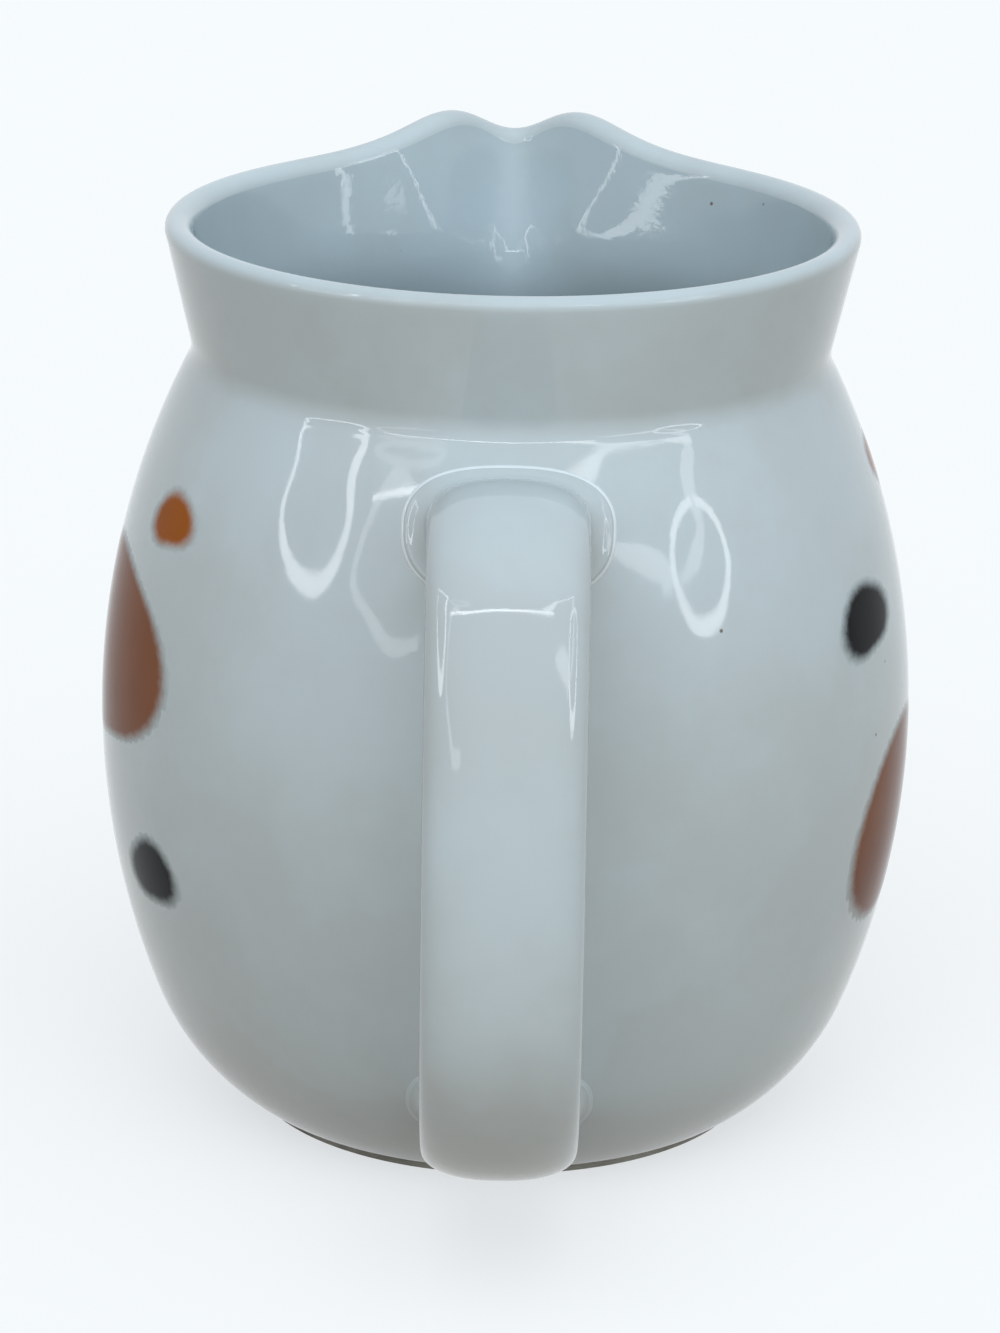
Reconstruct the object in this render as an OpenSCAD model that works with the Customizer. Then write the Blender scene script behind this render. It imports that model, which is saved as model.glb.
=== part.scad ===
// Cream jug in glazed porcelain: a slip-cast pot with a flared collar and a drawn pouring
// spout, and a strap handle that is cast by itself and stuck on with slip at both ends.
// The handle points along -Y, the spout along +Y, and the jug stands on Z = 0 with the
// middle of its footprint at the origin.

/* [Belly] */
// Largest outer radius of the belly
belly_r = 45; // [42:0.5:49]
// Height of the widest ring
belly_z = 44.7; // [43:0.1:47]
// Radius of the long arc that rises from the widest ring to the neck
side_arc_r = 88; // [80:1:100]
// Radius of the arc that turns the side in to the foot
base_arc_r = 25.5; // [23:0.5:27]
// Slope at which the base leaves the foot ring, in degrees
base_slope = 33.8; // [32:0.2:36]
// Thickness of the side wall and of the lip
wall = 3; // [2.4:0.1:3.4]
// Thickness of the floor over the foot's hollow
floor_t = 3.2; // [2.6:0.1:4]
// Radius that joins the floor to the side wall inside
floor_fillet_r = 22; // [20:0.5:24]

/* [Foot] */
// How far the foot ring stands in from the widest ring
foot_inset = 16.6; // [14:0.2:19]
// Width of the foot ring
foot_w = 3; // [2.2:0.1:3.6]
// Height of the foot ring below the glazed base
foot_h = 1.3; // [1:0.1:2]
// How far the glazed base stands out over the foot ring
foot_step = 1.2; // [0.6:0.1:1.6]
// Depth of the hollow inside the foot ring
foot_hollow = 1.9; // [1.2:0.1:2.4]
// Bevel on the two lower edges of the foot ring
foot_bevel = 0.4; // [0.2:0.1:0.6]

/* [Collar] */
// How far the rim, where the lip's round begins, stands in from the widest ring
rim_inset = 7.3; // [6:0.1:8.5]
// Height of the rim on the handle side
rim_z = 100.5; // [98:0.5:104]
// Lean of the collar away from the upright, in degrees
collar_lean = 12.8; // [10:0.2:16]
// Radius of the hollow at the neck
neck_fillet_r = 4; // [2:0.5:5]

/* [Spout] */
// How far the spout's tip stands out beyond the round rim
spout_reach = 10; // [7:0.5:13]
// Height at which the spout starts to leave the belly
spout_start_z = 66; // [58:1:72]
// Half angle of the channel at the rim, in degrees
mouth_angle = 14; // [11:0.5:17]
// Half angle of the channel where it starts, in degrees
throat_angle = 8; // [6:0.5:10]
// Height of the broad swell of the rim towards the spout
swell_rise = 5.3; // [4:0.1:7]
// Half angle of the swell, in degrees
swell_angle = 20.5; // [18:0.5:25]
// Depth of the dip of the rim at the spout's tip
tip_dip = 5.2; // [3.6:0.1:6.4]
// Half angle of the dip, in degrees
dip_angle = 8.5; // [7:0.5:10]

/* [Handle] */
// How far the outside of the handle stands out from the widest ring
handle_stand = 29; // [25:0.5:35]
// Width of the strap along its long outer arc
handle_w = 16.2; // [13:0.2:18]
// Width of the strap at its two ends
handle_end_w = 16.6; // [13:0.2:19]
// Thickness of the strap
handle_t = 7.4; // [6:0.1:8]
// Thickness of the strap where it leaves the shoulder
handle_top_t = 10; // [7:0.1:11]
// How far below the neck the strap's middle line leaves the shoulder
handle_drop = 8; // [7.5:0.1:11]
// Height of the strap's outermost point
handle_out_z = 43; // [38:0.5:50]
// Radius of the long arc that the outside of the handle follows
handle_back_r = 81; // [60:1:120]
// Length of the straight run from the shoulder to the upper bend
handle_top_run = 11; // [8:0.5:14]
// Length of the straight run from the lower bend to the belly
handle_foot_run = 5; // [4.5:0.5:8]
// Height of the strap's middle line where it meets the lower belly
handle_foot_z = 12.8; // [12:0.1:16]
// Radius of the fillet over the strap where it leaves the shoulder
top_fillet_r = 1.3; // [1:0.1:2.4]
// Radius of the fillet at the strap's sides and under it where it leaves the shoulder
side_fillet_r = 2.5; // [1.4:0.1:3]
// Radius of the fillet where the strap spreads on to the lower belly
foot_fillet_r = 1.4; // [1:0.1:2.4]
// Thickness of the layer of slip under each end of the handle
slip_t = 0.3; // [0.2:0.05:0.5]
// Thickness of the fillets' edge where it ends on the slip
fillet_edge_t = 0.1; // [0.05:0.05:0.2]

/* [Coloured patches] */
// Thickness of the fired colour
patch_t = 0.12; // [0.08:0.01:0.2]
// Half width of the largest patch
patch_w = 17; // [13:0.5:19]
// Half height of the largest patch
patch_h = 13; // [10:0.5:15]

/* [Hidden] */

// Colours as the photograph shows them
glaze_white = [0.80, 0.84, 0.86];
slip_white = [0.74, 0.78, 0.79];
terracotta = [0.55, 0.33, 0.25];
soft_black = [0.06, 0.06, 0.07];
rust = [0.56, 0.27, 0.06];

// Fineness of turned surfaces and of their profile, and how far a cutter runs past what it cuts
turned_fn = 120;
profile_fn = 480;
overrun = 1;

// Outline of the pot, as [radius, height] points. Every curve is an arc, so the same
// centres serve the outside, the inside and any layer on the glaze.
lip_h = wall / 2;
foot_r = belly_r - foot_inset;
rim_r = belly_r - rim_inset;
handle_reach = belly_r + handle_stand;
collar_top_z = rim_z - lip_h * cos(collar_lean);
side_centre = [belly_r - side_arc_r, belly_z];

// The base arc starts at the foot's edge. The lower side arc is upright at the widest ring
// and as wide as it must be to touch the base arc.
foot_edge = [foot_r + foot_step, foot_h];
base_centre = foot_edge + base_arc_r * [-sin(base_slope), cos(base_slope)];
base_clear = belly_r - base_centre.x - base_arc_r;
lower_arc_r = ((belly_r - base_centre.x) ^ 2 + (belly_z - base_centre.y) ^ 2 - base_arc_r ^ 2) /
    (2 * base_clear);
lower_centre = [belly_r - lower_arc_r, belly_z];
base_turn = (base_centre - lower_centre) / (lower_arc_r - base_arc_r);

// Centre of the neck's hollow: it touches the side arc and the collar from outside
lean = tan(collar_lean);
neck_start = rim_r - collar_top_z * lean + neck_fillet_r / cos(collar_lean) - side_centre.x;
neck_a = 1 + lean ^ 2;
neck_b = 2 * (lean * neck_start - side_centre.y);
neck_c = neck_start ^ 2 + side_centre.y ^ 2 - (side_arc_r + neck_fillet_r) ^ 2;
neck_z = (sqrt(neck_b ^ 2 - 4 * neck_a * neck_c) - neck_b) / (2 * neck_a);
neck_centre = [side_centre.x + neck_start + neck_z * lean, neck_z];
neck_turn = (neck_centre - side_centre) / norm(neck_centre - side_centre);

// Floor inside the pot, and the arc that rises from it to touch the inner side arc
floor_z = foot_hollow + floor_t;
inner_gap = lower_arc_r - wall - floor_fillet_r;
floor_centre = [lower_centre.x + sqrt(inner_gap ^ 2 - (belly_z - floor_z - floor_fillet_r) ^ 2),
                floor_z + floor_fillet_r];
floor_turn = (floor_centre - lower_centre) / inner_gap;

// Heights at which one curve hands over to the next, for a surface set in by depth
function base_end_z(depth) = belly_z + (lower_arc_r - depth) * base_turn.y;
function side_end_z(depth) = belly_z + (side_arc_r - depth) * neck_turn.y;
function neck_end_z(depth) = neck_centre.y + (neck_fillet_r + depth) * sin(collar_lean);
handle_top_z = side_end_z(0) - handle_drop;

// Half width of a circle at height z
function chord(centre, radius, z) = sqrt(max(0, radius ^ 2 - (z - centre.y) ^ 2));

// Radius of the pot at height z, for a surface set in from the outside by depth
function pot_r(z, depth = 0) =
    z < base_end_z(depth) ? base_centre.x + chord(base_centre, base_arc_r - depth, z)
    : z < belly_z ? lower_centre.x + chord(lower_centre, lower_arc_r - depth, z)
    : z < side_end_z(depth) ? side_centre.x + chord(side_centre, side_arc_r - depth, z)
    : z < neck_end_z(depth) ? neck_centre.x - chord(neck_centre, neck_fillet_r + depth, z)
    : rim_r - (collar_top_z - z) * lean - depth / cos(collar_lean);

// The pot's axis, which lies ahead of the origin because the handle reaches further back
axis_y = (handle_reach - rim_r - spout_reach) / 2;
module on_axis() translate([0, axis_y, 0]) children();

// Spout. An angle is measured round the axis from the spout's tip, and a share runs from
// 0 at spout_start_z to 1 at the top of the collar.
full_turn = 360;
right_angle = 90;
fine_angle = 2.5;
coarse_angle = 5;
last_fine_angle = 42.5;
tip_angles = concat([for (a = [-last_fine_angle:fine_angle:last_fine_angle]) a],
                    [for (a = [last_fine_angle + coarse_angle:coarse_angle:
                               full_turn - last_fine_angle - fine_angle]) a]);
reach_power = 1.7;
lift_power = 4;

function bell(angle, half_angle) = exp(-(angle / half_angle) ^ 2);
function rise_at(angle) =
    swell_rise * bell(angle, swell_angle) - tip_dip * bell(angle, dip_angle);
function spread_at(share) = throat_angle + (mouth_angle - throat_angle) * share;
function bulge(angle, share) =
    spout_reach * share ^ reach_power * bell(angle, spread_at(share));
function lift(angle, share) = rise_at(angle) * share ^ lift_power;
function signed_angle(angle) = angle > full_turn / 2 ? angle - full_turn : angle;

function spout_r(z, angle, share) =
    pot_r(z) + bulge(angle, share) + lift(angle, share) * lean;
// Outward direction of the collar, seen from above
small_angle = 0.05;
function spout_normal(z, angle, share) =
    let (ahead = spout_r(z, angle + small_angle, share),
         behind = spout_r(z, angle - small_angle, share),
         slope = (ahead - behind) / (2 * small_angle) * 180 / PI,
         r = spout_r(z, angle, share),
         tangent = [slope * sin(angle) + r * cos(angle), slope * cos(angle) - r * sin(angle)])
    [-tangent.y, tangent.x] / norm(tangent);
// The lowest ring laps over the turned belly on both faces, so that the two close cleanly
seam_lap = 0.08;
function lap(z) = z == spout_start_z ? seam_lap : 0;
function outer_point(z, angle, share) =
    let (r = spout_r(z, angle, share) + lap(z))
    [r * sin(angle), r * cos(angle), z + lift(angle, share)];
function inner_point(z, angle, share) =
    let (n = spout_normal(z, angle, share), t = pot_r(z) - pot_r(z, wall) + 2 * lap(z))
    outer_point(z, angle, share) - t * [n.x, n.y, 0];
function lip_point(angle, turn) =
    let (n = spout_normal(collar_top_z, angle, 1),
         outside = outer_point(collar_top_z, angle, 1),
         inside = inner_point(collar_top_z, angle, 1),
         up = lip_h * [n.x * sin(collar_lean), n.y * sin(collar_lean), cos(collar_lean)])
    (outside + inside) / 2 + (outside - inside) / 2 * cos(turn) + up * sin(turn);

// Heights of the loft's rings, closer together where the neck turns
function steps(from, to, count) = [for (i = [0:count - 1]) from + (to - from) * i / count];
belly_rings = 6;
neck_rings = 7;
collar_rings = 4;
ring_z = concat(steps(spout_start_z, side_end_z(wall), belly_rings),
                steps(side_end_z(wall), neck_end_z(wall), neck_rings),
                steps(neck_end_z(wall), collar_top_z, collar_rings), [collar_top_z]);
lip_turns = [30:30:150];
function share_at(z) = (z - spout_start_z) / (collar_top_z - spout_start_z);

// Faces of a tube whose section closes on itself: rings of points, each joined to the next
// and the last to the first, so the wall has an inside, an outside and both ends
function ring_faces(rings, count) =
    [for (i = [0:rings - 1], j = [0:count - 1], half = [0, 1])
        let (a = i * count + j,
             b = i * count + (j + 1) % count,
             c = (i + 1) % rings * count + (j + 1) % count,
             d = (i + 1) % rings * count + j)
        half == 0 ? [a, b, c] : [a, c, d]];

module collar_with_spout() {
    angles = [for (a = tip_angles) signed_angle(a)];
    outside = [for (z = ring_z) [for (a = angles) outer_point(z, a, share_at(z))]];
    lip = [for (turn = lip_turns) [for (a = angles) lip_point(a, turn)]];
    inside = [for (i = [len(ring_z) - 1:-1:0])
        [for (a = angles) inner_point(ring_z[i], a, share_at(ring_z[i]))]];
    rings = concat(outside, lip, inside);
    polyhedron(points = [for (ring = rings) each ring],
               faces = ring_faces(len(rings), len(angles)));
}

// What lies inside a circle, from the jug's axis out and from one height to another
module band(centre, radius, from_z, to_z) {
    intersection() {
        translate(centre) circle(radius, $fn = profile_fn);
        translate([max(0, centre.x), from_z]) square([2 * belly_r, to_z - from_z]);
    }
    if (centre.x > 0) translate([0, from_z]) square([centre.x, to_z - from_z]);
}

// Half section of the solid inside the glaze's surface, from the foot's edge to top_z
module outline(depth, top_z) {
    band(base_centre, base_arc_r - depth, foot_h, base_end_z(depth));
    band(lower_centre, lower_arc_r - depth, base_end_z(depth), belly_z);
    band(side_centre, side_arc_r - depth, belly_z, top_z);
}

// Half section of the hollow that holds the cream, up to the start of the spout
module hollow() {
    turn_z = belly_z + (lower_arc_r - wall) * floor_turn.y;
    band(floor_centre, floor_fillet_r, floor_z, turn_z);
    band(lower_centre, lower_arc_r - wall, turn_z, belly_z);
    band(side_centre, side_arc_r - wall, belly_z, spout_start_z + overrun);
}

// Half section of the foot ring, with its lower edges bevelled
module foot_section() {
    inner_r = foot_r - foot_w;
    polygon([[inner_r, foot_hollow + overrun], [inner_r, foot_bevel],
             [inner_r + foot_bevel, 0], [foot_r - foot_bevel, 0],
             [foot_r, foot_bevel], [foot_r, foot_hollow + overrun]]);
}

module jug_body() {
    color(glaze_white) on_axis() {
        rotate_extrude($fn = turned_fn) {
            difference() {
                union() {
                    outline(0, spout_start_z);
                    foot_section();
                }
                hollow();
                translate([0, foot_h - overrun])
                    square([foot_r - foot_w, foot_hollow - foot_h + overrun]);
            }
        }
        collar_with_spout();
    }
}

// Handle. Its middle line lies in the plane of the spout, as [distance from the axis, height].
// It leaves the shoulder square to the wall, bends down into one long arc, bends in again
// and runs level into the lower belly.
back_r = handle_back_r - handle_t / 2;
back_centre = [handle_reach - handle_back_r, handle_out_z];
root_lean = asin((handle_top_z - belly_z) / side_arc_r);

// An end of the handle: where its middle line meets the pot, the direction in which it
// leaves, and the direction of the strap's outer face
top_end = [[pot_r(handle_top_z), handle_top_z],
           [cos(root_lean), sin(root_lean)], [-sin(root_lean), cos(root_lean)]];
foot_end = [[pot_r(handle_foot_z), handle_foot_z], [1, 0], [0, -1]];

// Radius and centre of the bend that starts a run away from an end and touches the long arc
function along(end, run) = end[0] + run * end[1];
function bend_radius(end, run) =
    let (start = along(end, run) - back_centre)
    (back_r ^ 2 - start * start) / (2 * (back_r - start * end[2]));
function bend_centre(end, run) = along(end, run) - bend_radius(end, run) * end[2];

upper_r = bend_radius(top_end, handle_top_run);
upper_centre = bend_centre(top_end, handle_top_run);
upper_from = right_angle + root_lean;
upper_to = atan2(upper_centre.y - back_centre.y, upper_centre.x - back_centre.x);
lower_r = bend_radius(foot_end, handle_foot_run);
low_centre = bend_centre(foot_end, handle_foot_run);
lower_from = atan2(low_centre.y - back_centre.y, low_centre.x - back_centre.x);
lower_to = -right_angle;

// Width and thickness of the strap at a length from one end, where it swells a little
function arc_length(radius, angle) = radius * angle * PI / 180;
top_length = handle_top_run + arc_length(upper_r, upper_from - upper_to);
foot_length = handle_foot_run + arc_length(lower_r, lower_from - lower_to);
function swollen(end_w, end_t, share) =
    [handle_w, handle_t] + share ^ 2 * [end_w - handle_w, end_t - handle_t];
top_size_at = function (length)
    swollen(handle_end_w, handle_top_t, max(0, 1 - length / top_length));
foot_size_at = function (length)
    swollen(handle_end_w, handle_t, max(0, 1 - length / foot_length));

// Section of the strap: a flattened oval with a crowned face
section_power = 2.4;
section_count = 32;
section_angles = [for (i = [0:section_count - 1]) full_turn * i / section_count];
function signed_power(x, p) = sign(x) * abs(x) ^ p;
function section_point(size, spread, angle) =
    [(size.x / 2 + spread) * signed_power(cos(angle), 2 / section_power),
     (size.y / 2 + spread) * signed_power(sin(angle), 2 / section_power)];

// Ring of points square to the middle line, whose outer face looks along one angle
function strap_ring(middle, angle, size) =
    [for (a = section_angles)
        let (p = section_point(size, 0, a))
        [p.x, -(middle.x + p.y * cos(angle)), middle.y + p.y * sin(angle)]];
function run_rings(end, lengths, angle, size_at) =
    [for (length = lengths) strap_ring(along(end, length), angle, size_at(length))];
function arc_rings(centre, radius, angles, size_at) =
    [for (a = angles) strap_ring(centre + radius * [cos(a), sin(a)], a, size_at(a))];

// Point of an end's section that lies at one distance from the belly. It slides along the
// run's direction, and a few steps bring it to that distance.
slide_steps = 6;
function root_point(end, p, gap, length = 0, left = slide_steps) =
    let (r = end[0].x + p.y * end[2].x + length * end[1].x,
         z = end[0].y + p.y * end[2].y + length * end[1].y)
    left == 0 ? [p.x, -r, z]
    : root_point(end, p, gap,
                 length + (sqrt((pot_r(z) + gap) ^ 2 - p.x ^ 2) - r) / end[1].x, left - 1);

// Rings of the fillet that spreads the strap's end as it nears the belly. The fillet runs
// out on the layer of slip in a thin edge, square to the belly.
fillet_turns = [90:-15:0];
end_gap = slip_t + fillet_edge_t;
function fillet_at(radii, angle) = radii[0] + (radii[1] - radii[0]) * max(0, sin(angle)) ^ 2;
function root_outline(size, radii) =
    [for (a = section_angles) section_point(size, fillet_at(radii, a), a)];
function root_rings(end, size_at, radii) =
    concat([[for (p = root_outline(size_at(end_gap), radii)) root_point(end, p, -wall)]],
           [for (turn = fillet_turns) [for (a = section_angles)
               let (r = fillet_at(radii, a),
                    gap = end_gap + r * (1 - sin(turn)))
               root_point(end, section_point(size_at(gap), r * (1 - cos(turn)), a), gap)]]);
top_radii = [side_fillet_r, top_fillet_r];
foot_radii = [foot_fillet_r, foot_fillet_r];

function end_cap(first, count, flip) =
    [for (k = [1:count - 2])
        flip ? [first, first + k, first + k + 1] : [first, first + k + 1, first + k]];
function strap_faces(rings, count) =
    concat([for (i = [0:rings - 2], j = [0:count - 1], half = [0, 1])
                let (a = i * count + j,
                     b = i * count + (j + 1) % count,
                     c = (i + 1) * count + (j + 1) % count,
                     d = (i + 1) * count + j)
                half == 0 ? [a, c, b] : [a, d, c]],
           end_cap(0, count, true), end_cap((rings - 1) * count, count, false));

run_steps = 2;
bend_steps = 12;
back_steps = 10;
module strap() {
    top_clear = end_gap + side_fillet_r + slip_t;
    foot_clear = end_gap + foot_fillet_r + slip_t +
        pot_r(handle_foot_z + handle_t / 2) - pot_r(handle_foot_z);
    top_runs = steps(top_clear, handle_top_run, run_steps);
    foot_runs = concat(steps(handle_foot_run, foot_clear, run_steps), [foot_clear]);
    feet = root_rings(foot_end, foot_size_at, foot_radii);
    rings = concat(
        root_rings(top_end, top_size_at, top_radii),
        run_rings(top_end, top_runs, upper_from, top_size_at),
        arc_rings(upper_centre, upper_r, steps(upper_from, upper_to, bend_steps),
                  function (a) top_size_at(handle_top_run + arc_length(upper_r, upper_from - a))),
        arc_rings(back_centre, back_r, steps(upper_to, lower_from, back_steps),
                  function (a) [handle_w, handle_t]),
        arc_rings(low_centre, lower_r, steps(lower_from, lower_to, bend_steps),
                  function (a) foot_size_at(handle_foot_run + arc_length(lower_r, a - lower_to))),
        run_rings(foot_end, foot_runs, lower_to, foot_size_at),
        [for (i = [len(feet) - 1:-1:0]) feet[i]]);
    polyhedron(points = [for (ring = rings) each ring],
               faces = strap_faces(len(rings), section_count));
}

// The solid pot up to its neck, grown by a layer, that the strap's ends are cut to
module pot_solid(grow) {
    neck_r = pot_r(side_end_z(0), -grow);
    rotate_extrude($fn = turned_fn) {
        outline(-grow, side_end_z(-grow));
        difference() {
            translate([0, side_end_z(-grow)]) square([neck_r, neck_end_z(0) - side_end_z(-grow)]);
            translate(neck_centre) circle(neck_fillet_r - grow, $fn = turned_fn);
        }
    }
}

module handle() {
    color(glaze_white) on_axis() difference() {
        strap();
        pot_solid(slip_t);
    }
}

// The slip between one end of the handle and the belly, with the outline of that end
module slip_joint(end, size, radii) {
    lean = atan2(end[2].y, end[2].x) - right_angle;
    color(slip_white) on_axis() intersection() {
        difference() {
            pot_solid(slip_t);
            pot_solid(0);
        }
        translate([0, -end[0].x, end[0].y]) rotate([right_angle - lean, 0, 0])
            linear_extrude(size.x, center = true) polygon(root_outline(size, radii));
    }
}

module upper_slip_joint() slip_joint(top_end, top_size_at(end_gap), top_radii);
module lower_slip_joint() slip_joint(foot_end, foot_size_at(end_gap), foot_radii);

// Coloured patches on both sides, in the manner of a piebald hide. Each spot is given by
// its place and size: the way round the belly from the middle of the side towards the spout
// as a share of patch_w, a height above the widest ring as a share of patch_h, a size as a
// share of the largest patch, and the angle by which its wavy outline is turned.
left_terracotta_shares = [[-0.51, 0.75, 1, 20]];
left_black_shares = [[0.97, -0.95, 0.82, -35], [-1.39, -0.95, 0.38, 50]];
left_rust_shares = [[1.48, 1, 0.42, 10], [-1.34, 2.05, 0.32, 30]];
right_terracotta_shares = [[-0.46, -0.6, 1, -15]];
right_black_shares = [[0.88, 1.1, 0.78, 30], [-1.25, 1.3, 0.4, -20]];
right_rust_shares = [[1.43, -0.8, 0.44, 60], [-0.09, 2.3, 0.3, 75]];
spot_points = 44;
wobble_shares = [0.11, 0.07];

function angle_round(way) = way / belly_r * 180 / PI;
function spot_outline(size, turn) =
    [for (k = [0:spot_points - 1])
        let (a = full_turn * k / spot_points,
             r = size * (1 + wobble_shares[0] * cos(2 * a + turn) +
                         wobble_shares[1] * cos(3 * a - 2 * turn)))
        [patch_w * r * cos(a), patch_h * r * sin(a)]];

// The thin skin of fired colour that lies on the belly's two side arcs
module colour_skin() {
    rotate_extrude($fn = turned_fn) difference() {
        union() {
            band(lower_centre, lower_arc_r + patch_t, base_end_z(0), belly_z);
            band(side_centre, side_arc_r + patch_t, belly_z, side_end_z(0));
        }
        outline(0, side_end_z(0));
    }
}

// Spots on one side: 1 is the right side seen from the handle, and -1 the left
module spots(shares, side, shade) {
    color(shade) on_axis() for (s = shares) {
        intersection() {
            colour_skin();
            rotate([0, 0, (side > 0 ? 0 : 180) + side * angle_round(s[0] * patch_w)])
                translate([0, 0, belly_z + s[1] * patch_h])
                    rotate([90, 0, 90]) linear_extrude(2 * belly_r)
                        polygon(spot_outline(s[2], side * s[3]));
        }
    }
}

module left_terracotta_patch() spots(left_terracotta_shares, -1, terracotta);
module left_black_patches() spots(left_black_shares, -1, soft_black);
module left_rust_patches() spots(left_rust_shares, -1, rust);
module right_terracotta_patch() spots(right_terracotta_shares, 1, terracotta);
module right_black_patches() spots(right_black_shares, 1, soft_black);
module right_rust_patches() spots(right_rust_shares, 1, rust);

jug_body();
handle();
upper_slip_joint();
lower_slip_joint();
left_terracotta_patch();
left_black_patches();
left_rust_patches();
right_terracotta_patch();
right_black_patches();
right_rust_patches();
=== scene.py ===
"""Looks of the cream jug: its glazed pot, strap handle, slip beads and fired colours, and the
studio they stand in. All lengths are in metres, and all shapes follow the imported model."""
import math

import bmesh
import bpy
import numpy as np
from mathutils import Euler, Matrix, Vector


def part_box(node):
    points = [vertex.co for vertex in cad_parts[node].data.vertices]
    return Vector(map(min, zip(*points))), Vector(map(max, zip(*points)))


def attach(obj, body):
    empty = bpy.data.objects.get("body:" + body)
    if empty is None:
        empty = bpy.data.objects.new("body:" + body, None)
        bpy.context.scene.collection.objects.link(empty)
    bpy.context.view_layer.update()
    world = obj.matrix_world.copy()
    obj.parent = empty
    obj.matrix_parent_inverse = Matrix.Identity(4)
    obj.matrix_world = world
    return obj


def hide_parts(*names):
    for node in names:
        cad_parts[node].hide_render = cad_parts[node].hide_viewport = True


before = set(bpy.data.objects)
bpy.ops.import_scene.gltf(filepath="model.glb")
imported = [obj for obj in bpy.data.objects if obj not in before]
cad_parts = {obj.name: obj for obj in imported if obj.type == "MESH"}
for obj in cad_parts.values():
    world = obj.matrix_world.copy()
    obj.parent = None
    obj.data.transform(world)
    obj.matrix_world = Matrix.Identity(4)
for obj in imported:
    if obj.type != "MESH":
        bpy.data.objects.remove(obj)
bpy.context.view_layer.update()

# Sizes of the pot. The belly's radius and the jug's axis are read from the frame.
body_low, body_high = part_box("jug_body")
BELLY_R = (body_high.x - body_low.x) / 2
AXIS_Y = body_low.y + BELLY_R
BELLY_Z = 0.0447
SIDE_ARC_R = 0.088
BASE_ARC_R = 0.0255
BASE_SLOPE = math.radians(33.8)
WALL = 0.003
FLOOR_T = 0.0032
FLOOR_FILLET_R = 0.022
FOOT_R = BELLY_R - 0.0166
FOOT_W = 0.003
FOOT_H = 0.0013
FOOT_STEP = 0.0012
FOOT_HOLLOW = 0.0019
FOOT_ROUND = 0.0004
INSIDE_SOFTENING = 0.0045
RIM_R = BELLY_R - 0.0073
RIM_Z = 0.1005
COLLAR_LEAN = math.radians(12.8)
NECK_FILLET_R = 0.004

# Sizes of the spout. Its reach is a hair under the solid's 10 mm, so that this finer mesh
# stays inside the solid's box.
SPOUT_REACH = 0.00995
SPOUT_START_Z = 0.066
MOUTH_ANGLE = math.radians(14)
THROAT_ANGLE = math.radians(8)
SWELL_RISE = 0.0053
SWELL_ANGLE = math.radians(20.5)
TIP_DIP = 0.0052
DIP_ANGLE = math.radians(8.5)
REACH_POWER = 1.7
LIFT_POWER = 4

# Sizes of the handle. Its reach, too, is a hair under the solid's 29 mm.
HANDLE_REACH = BELLY_R + 0.02897
HANDLE_W = 0.0162
HANDLE_END_W = 0.0166
HANDLE_T = 0.0074
HANDLE_TOP_T = 0.010
HANDLE_DROP = 0.008
HANDLE_OUT_Z = 0.043
HANDLE_BACK_R = 0.081
HANDLE_TOP_RUN = 0.011
HANDLE_FOOT_RUN = 0.005
HANDLE_FOOT_Z = 0.0128
TOP_FILLET_R = 0.0013
SIDE_FILLET_R = 0.0025
FOOT_FILLET_R = 0.0014
END_GAP = 0.0002
SECTION_POWER = 2.4
ROOT_SINK = WALL / 2

# Sizes of the beads of slip round the handle's ends
SLIP_RUN_OUT = 0.0003
SLIP_SINK = WALL / 10

# Sizes of the fired colours, which lie in the glaze and hardly stand out of it
PATCH_W = 0.017
PATCH_H = 0.013
PATCH_RISE = 0.00003
PATCH_SINK = 0.00001
PATCH_EDGE = 0.0022

# Fineness of the meshes
FINE_STEP = math.radians(1)
COARSE_STEP = math.radians(2)
FINE_TO = math.radians(45)
RING_GAP = 0.0009
STRAP_GAP = 0.0009
STRAP_SIDES = 112
SLIDE_STEPS = 6
SPOT_SIDES = 120
SPOT_RINGS = 24
SLIP_RINGS = 60
LIP_STEPS = 16
FILLET_STEPS = 12
CORNER_STEPS = 5
SOFTENING_SAMPLES = 21
LAMP_STEPS = 8


# Curves of the pot, as the part's source has them
LEAN = math.tan(COLLAR_LEAN)
LIP_H = WALL / 2
COLLAR_TOP_Z = RIM_Z - LIP_H * math.cos(COLLAR_LEAN)
SIDE_CENTRE = Vector((BELLY_R - SIDE_ARC_R, BELLY_Z))
FOOT_EDGE = Vector((FOOT_R + FOOT_STEP, FOOT_H))
BASE_CENTRE = FOOT_EDGE + BASE_ARC_R * Vector((-math.sin(BASE_SLOPE), math.cos(BASE_SLOPE)))


def lower_arc():
    """Radius and centre of the arc that joins the widest ring to the base arc."""
    across, down = BELLY_R - BASE_CENTRE.x, BELLY_Z - BASE_CENTRE.y
    radius = (across**2 + down**2 - BASE_ARC_R**2) / (2 * (across - BASE_ARC_R))
    return radius, Vector((BELLY_R - radius, BELLY_Z))


def neck_arc():
    """Centre of the neck's hollow, which touches the side arc and the collar."""
    start = RIM_R - COLLAR_TOP_Z * LEAN + NECK_FILLET_R / math.cos(COLLAR_LEAN) - SIDE_CENTRE.x
    a = 1 + LEAN**2
    b = 2 * (LEAN * start - SIDE_CENTRE.y)
    c = start**2 + SIDE_CENTRE.y**2 - (SIDE_ARC_R + NECK_FILLET_R) ** 2
    z = (math.sqrt(b**2 - 4 * a * c) - b) / (2 * a)
    return Vector((SIDE_CENTRE.x + start + z * LEAN, z))


LOWER_ARC_R, LOWER_CENTRE = lower_arc()
NECK_CENTRE = neck_arc()
BASE_TURN = (BASE_CENTRE - LOWER_CENTRE).normalized()
NECK_TURN = (NECK_CENTRE - SIDE_CENTRE).normalized()
FLOOR_Z = FOOT_HOLLOW + FLOOR_T


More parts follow.
